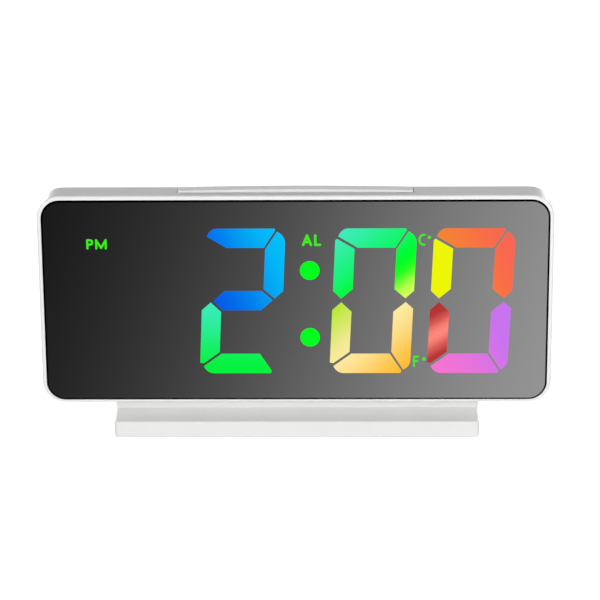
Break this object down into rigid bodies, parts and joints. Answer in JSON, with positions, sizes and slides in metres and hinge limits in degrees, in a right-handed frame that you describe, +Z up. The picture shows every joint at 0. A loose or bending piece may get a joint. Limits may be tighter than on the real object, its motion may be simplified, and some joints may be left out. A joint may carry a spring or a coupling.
{
  "type": "digital led desk clock",
  "caption": "Desk clock: a mirror-faced digital display leaning back on a flat foot, with a snooze bar on top, rear keys, battery door and power socket.",
  "frame": {"origin": "centre of the bounding box's underside, on the plane that the pads rest on", "axes": "+X along the display to the viewer's right, +Y from the display towards the back, +Z up; the display faces -Y and leans back"},
  "size_m": [0.18, 0.045, 0.0882],
  "materials": {
    "white_shell": "fine satin moulded plastic",
    "white_button": "satin moulded plastic",
    "smoked_mirror": "polished half-mirror acrylic",
    "black_tape": "matt foam tape",
    "white_reflector": "moulded plastic block with dark face",
    "milky_bar": "unlit milky plastic",
    "blue_glow": "lit milky bar",
    "mint_glow": "lit milky bar",
    "green_glow": "lit milky bar",
    "amber_glow": "lit milky bar",
    "coral_glow": "lit milky bar",
    "yellow_glow": "lit milky bar",
    "red_glow": "lit milky bar",
    "magenta_glow": "lit milky bar",
    "circuit_board": "solder-masked circuit board",
    "black_plastic": "moulded plastic",
    "steel": "plated steel",
    "cell_wrap": "plain wrapped cell",
    "grey_ribbon": "flat flexible cable",
    "red_wire": "insulated wire",
    "dark_rubber": "soft foam rubber"
  },
  "bodies": {
    "clock": {"aaa_cells": "cell_wrap", "base_pads": "dark_rubber", "base_plate": "white_shell", "base_plate_screws": "steel", "base_screws": "steel", "base_shell": "white_shell", "battery_plates": "steel", "battery_springs": "steel", "battery_wires": "red_wire", "clock_crystal": "steel", "coin_cell": "steel", "coin_cell_holder": "black_plastic", "colon_dots": "green_glow", "control_board": "circuit_board", "control_board_screws": "steel", "control_chip": "black_plastic", "digit_reflector": "white_reflector", "display_board": "circuit_board", "display_board_screws": "steel", "driver_chips": "black_plastic", "front_frame": "white_shell", "hour_bars_blue": "blue_glow", "hour_bars_green": "mint_glow", "housing_screws": "steel", "indicator_marks": "green_glow", "key_switches": "black_plastic", "lens_tape": "black_tape", "minute_bar_red": "red_glow", "minute_bar_yellow": "yellow_glow", "minute_bars_magenta": "magenta_glow", "minute_bars_orange": "coral_glow", "mirror_lens": "smoked_mirror", "power_socket": "steel", "rear_cover": "white_shell", "ribbon_cable": "grey_ribbon", "segment_leds": "milky_bar", "snooze_switches": "black_plastic", "speaker": "black_plastic", "speaker_wires": "red_wire", "temperature_sensor": "black_plastic", "ten_minute_bars_amber": "amber_glow", "ten_minute_bars_green": "green_glow", "unlit_bars": "milky_bar"},
    "snooze": {"snooze_bar": "white_button", "snooze_plungers": "black_plastic"},
    "door": {"battery_door": "white_shell"},
    "set_button": {"set_key": "white_button", "set_key_plunger": "black_plastic"},
    "up_button": {"up_key": "white_button", "up_key_plunger": "black_plastic"},
    "down_button": {"down_key": "white_button", "down_key_plunger": "black_plastic"},
    "alarm_button": {"alarm_key": "white_button", "alarm_key_plunger": "black_plastic"},
    "mode_button": {"mode_key": "white_button", "mode_key_plunger": "black_plastic"}
  },
  "joints": [
    {"name": "snooze_press", "type": "slide", "parent": "clock", "child": "snooze", "axis": [0, -0.1392, -0.9903], "range_m": [0, 0.0008], "stiffness_N_per_m": 1500, "springref_m": -0.0004},
    {"name": "set_press", "type": "slide", "parent": "clock", "child": "set_button", "axis": [0, -0.9903, 0.1392], "range_m": [0, 0.0005], "stiffness_N_per_m": 1800, "springref_m": -0.0003},
    {"name": "up_press", "type": "slide", "parent": "clock", "child": "up_button", "axis": [0, -0.9903, 0.1392], "range_m": [0, 0.0005], "stiffness_N_per_m": 1800, "springref_m": -0.0003},
    {"name": "down_press", "type": "slide", "parent": "clock", "child": "down_button", "axis": [0, -0.9903, 0.1392], "range_m": [0, 0.0005], "stiffness_N_per_m": 1800, "springref_m": -0.0003},
    {"name": "alarm_press", "type": "slide", "parent": "clock", "child": "alarm_button", "axis": [0, -0.9903, 0.1392], "range_m": [0, 0.0005], "stiffness_N_per_m": 1800, "springref_m": -0.0003},
    {"name": "mode_press", "type": "slide", "parent": "clock", "child": "mode_button", "axis": [0, -0.9903, 0.1392], "range_m": [0, 0.0005], "stiffness_N_per_m": 1800, "springref_m": -0.0003},
    {"name": "door_open", "type": "hinge", "parent": "clock", "child": "door", "pos_m": [0, 0.00977, 0.02556], "axis": [-1, 0, 0], "range_deg": [0, 75]}
  ]
}
